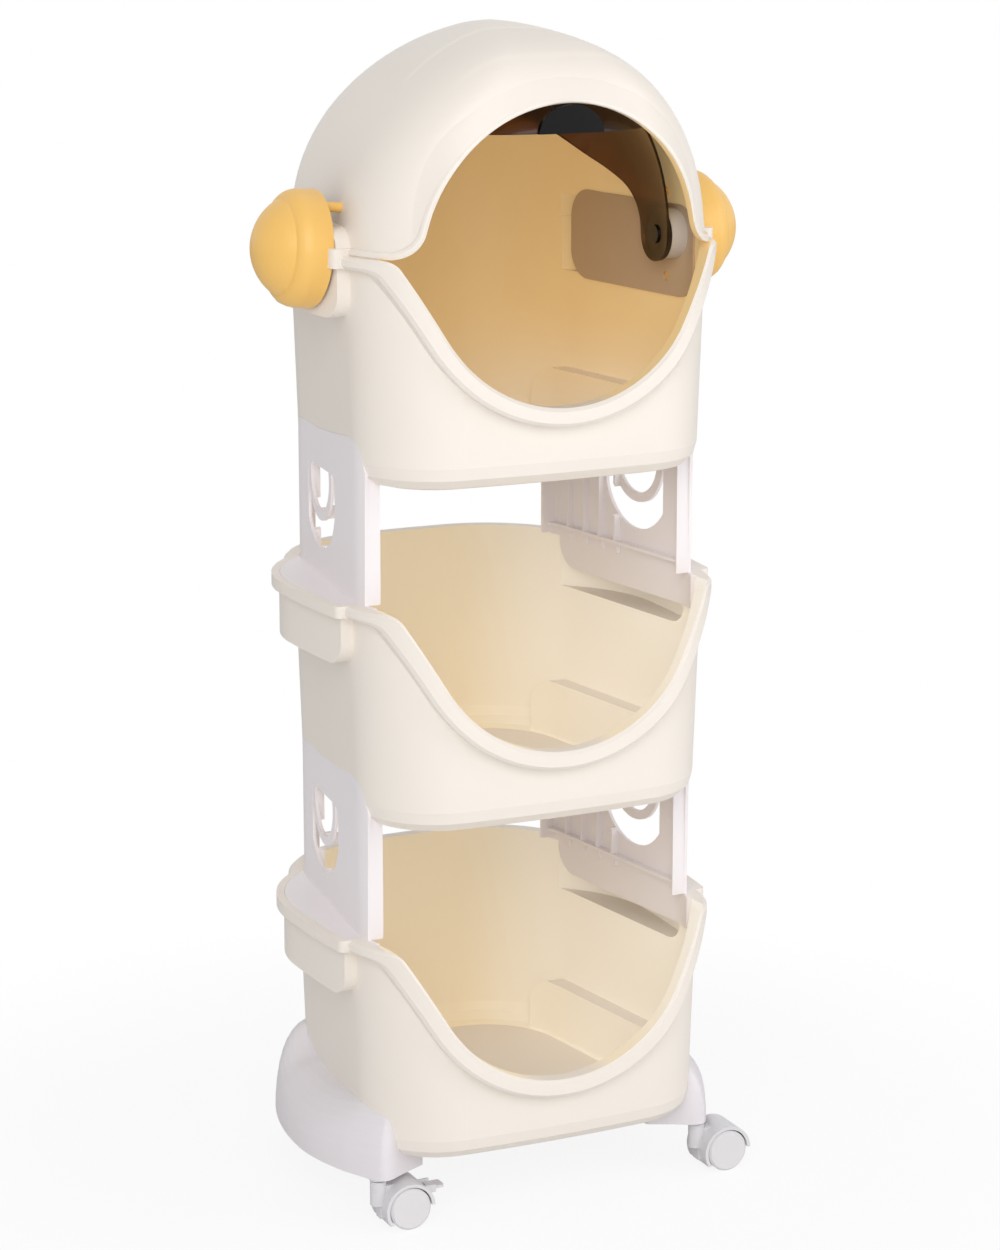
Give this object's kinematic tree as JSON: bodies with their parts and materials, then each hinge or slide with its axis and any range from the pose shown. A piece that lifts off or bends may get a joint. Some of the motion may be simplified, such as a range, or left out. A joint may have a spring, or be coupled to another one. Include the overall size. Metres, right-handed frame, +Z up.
{
  "type": "toy storage unit",
  "caption": "Wheeled toy storage tower: stacked scoop-front bins on side supports, topped by a helmet dome with a swing-down tinted visor and round ear caps.",
  "frame": {"origin": "on the floor, under the middle of the overall width and depth", "axes": "+Z up, -Y towards the scooped front, +X to the viewer's right seen from the front"},
  "size_m": [0.476, 0.3835, 1.0885],
  "materials": {
    "cream_shell": "satin moulded plastic",
    "smoked_visor": "glossy smoked clear plastic",
    "ear_orange": "satin moulded plastic",
    "taupe_plate": "satin moulded plastic",
    "boss_grey": "semi-gloss plastic",
    "dark_trim": "glossy black plastic",
    "lavender_frame": "satin moulded plastic",
    "caster_grey": "semi-gloss plastic",
    "caster_steel": "plain steel",
    "wheel_pale": "satin plastic"
  },
  "bodies": {
    "unit": {"bottom_bin": "cream_shell", "middle_bin": "cream_shell", "top_bin": "cream_shell", "helmet_dome": "cream_shell", "ear_cap_left": "ear_orange", "seam_plate_left": "taupe_plate", "visor_boss_left": "boss_grey", "visor_pin_left": "dark_trim", "visor_washer_left": "dark_trim", "side_foot_left": "lavender_frame", "lower_support_left": "lavender_frame", "upper_support_left": "lavender_frame", "ear_cap_right": "ear_orange", "seam_plate_right": "taupe_plate", "visor_boss_right": "boss_grey", "visor_pin_right": "dark_trim", "visor_washer_right": "dark_trim", "side_foot_right": "lavender_frame", "lower_support_right": "lavender_frame", "upper_support_right": "lavender_frame", "socket_front_left": "caster_grey", "socket_front_right": "caster_grey", "socket_rear_left": "caster_grey", "socket_rear_right": "caster_grey"},
    "visor": {"visor": "smoked_visor"},
    "caster_front_left": {"hood_front_left": "caster_grey", "stem_front_left": "caster_steel", "axle_front_left": "caster_steel"},
    "wheel_front_left_a": {"wheel_front_left_a": "wheel_pale"},
    "wheel_front_left_b": {"wheel_front_left_b": "wheel_pale"},
    "brake_front_left": {"brake_lever_front_left": "caster_grey"},
    "caster_front_right": {"hood_front_right": "caster_grey", "stem_front_right": "caster_steel", "axle_front_right": "caster_steel"},
    "wheel_front_right_a": {"wheel_front_right_a": "wheel_pale"},
    "wheel_front_right_b": {"wheel_front_right_b": "wheel_pale"},
    "caster_rear_left": {"hood_rear_left": "caster_grey", "stem_rear_left": "caster_steel", "axle_rear_left": "caster_steel"},
    "wheel_rear_left_a": {"wheel_rear_left_a": "wheel_pale"},
    "wheel_rear_left_b": {"wheel_rear_left_b": "wheel_pale"},
    "caster_rear_right": {"hood_rear_right": "caster_grey", "stem_rear_right": "caster_steel", "axle_rear_right": "caster_steel"},
    "wheel_rear_right_a": {"wheel_rear_right_a": "wheel_pale"},
    "wheel_rear_right_b": {"wheel_rear_right_b": "wheel_pale"},
    "brake_rear_right": {"brake_lever_rear_right": "caster_grey"}
  },
  "joints": [
    {"name": "visor_hinge", "type": "hinge", "parent": "unit", "child": "visor", "pos_m": [0, -0.075, 0.894], "axis": [1, 0, 0], "range_deg": [0, 86]},
    {"name": "swivel_front_left", "type": "hinge", "parent": "unit", "child": "caster_front_left", "pos_m": [-0.166, -0.134, 0.048], "axis": [0, 0, 1], "continuous": true},
    {"name": "spin_front_left_a", "type": "hinge", "parent": "caster_front_left", "child": "wheel_front_left_a", "pos_m": [-0.141, -0.134, 0.02], "axis": [0, 1, 0], "continuous": true},
    {"name": "spin_front_left_b", "type": "hinge", "parent": "caster_front_left", "child": "wheel_front_left_b", "pos_m": [-0.141, -0.134, 0.02], "axis": [0, 1, 0], "continuous": true},
    {"name": "brake_front_left", "type": "hinge", "parent": "caster_front_left", "child": "brake_front_left", "pos_m": [-0.1155, -0.134, 0.0325], "axis": [0, 1, 0], "range_deg": [0, 12]},
    {"name": "swivel_front_right", "type": "hinge", "parent": "unit", "child": "caster_front_right", "pos_m": [0.166, -0.134, 0.048], "axis": [0, 0, 1], "continuous": true},
    {"name": "spin_front_right_a", "type": "hinge", "parent": "caster_front_right", "child": "wheel_front_right_a", "pos_m": [0.191, -0.134, 0.02], "axis": [0, 1, 0], "continuous": true},
    {"name": "spin_front_right_b", "type": "hinge", "parent": "caster_front_right", "child": "wheel_front_right_b", "pos_m": [0.191, -0.134, 0.02], "axis": [0, 1, 0], "continuous": true},
    {"name": "swivel_rear_left", "type": "hinge", "parent": "unit", "child": "caster_rear_left", "pos_m": [-0.142, 0.12, 0.048], "axis": [0, 0, 1], "continuous": true},
    {"name": "spin_rear_left_a", "type": "hinge", "parent": "caster_rear_left", "child": "wheel_rear_left_a", "pos_m": [-0.117, 0.12, 0.02], "axis": [0, 1, 0], "continuous": true},
    {"name": "spin_rear_left_b", "type": "hinge", "parent": "caster_rear_left", "child": "wheel_rear_left_b", "pos_m": [-0.117, 0.12, 0.02], "axis": [0, 1, 0], "continuous": true},
    {"name": "swivel_rear_right", "type": "hinge", "parent": "unit", "child": "caster_rear_right", "pos_m": [0.142, 0.12, 0.048], "axis": [0, 0, 1], "continuous": true},
    {"name": "spin_rear_right_a", "type": "hinge", "parent": "caster_rear_right", "child": "wheel_rear_right_a", "pos_m": [0.167, 0.12, 0.02], "axis": [0, 1, 0], "continuous": true},
    {"name": "spin_rear_right_b", "type": "hinge", "parent": "caster_rear_right", "child": "wheel_rear_right_b", "pos_m": [0.167, 0.12, 0.02], "axis": [0, 1, 0], "continuous": true},
    {"name": "brake_rear_right", "type": "hinge", "parent": "caster_rear_right", "child": "brake_rear_right", "pos_m": [0.1925, 0.12, 0.0325], "axis": [0, 1, 0], "range_deg": [0, 12]}
  ]
}
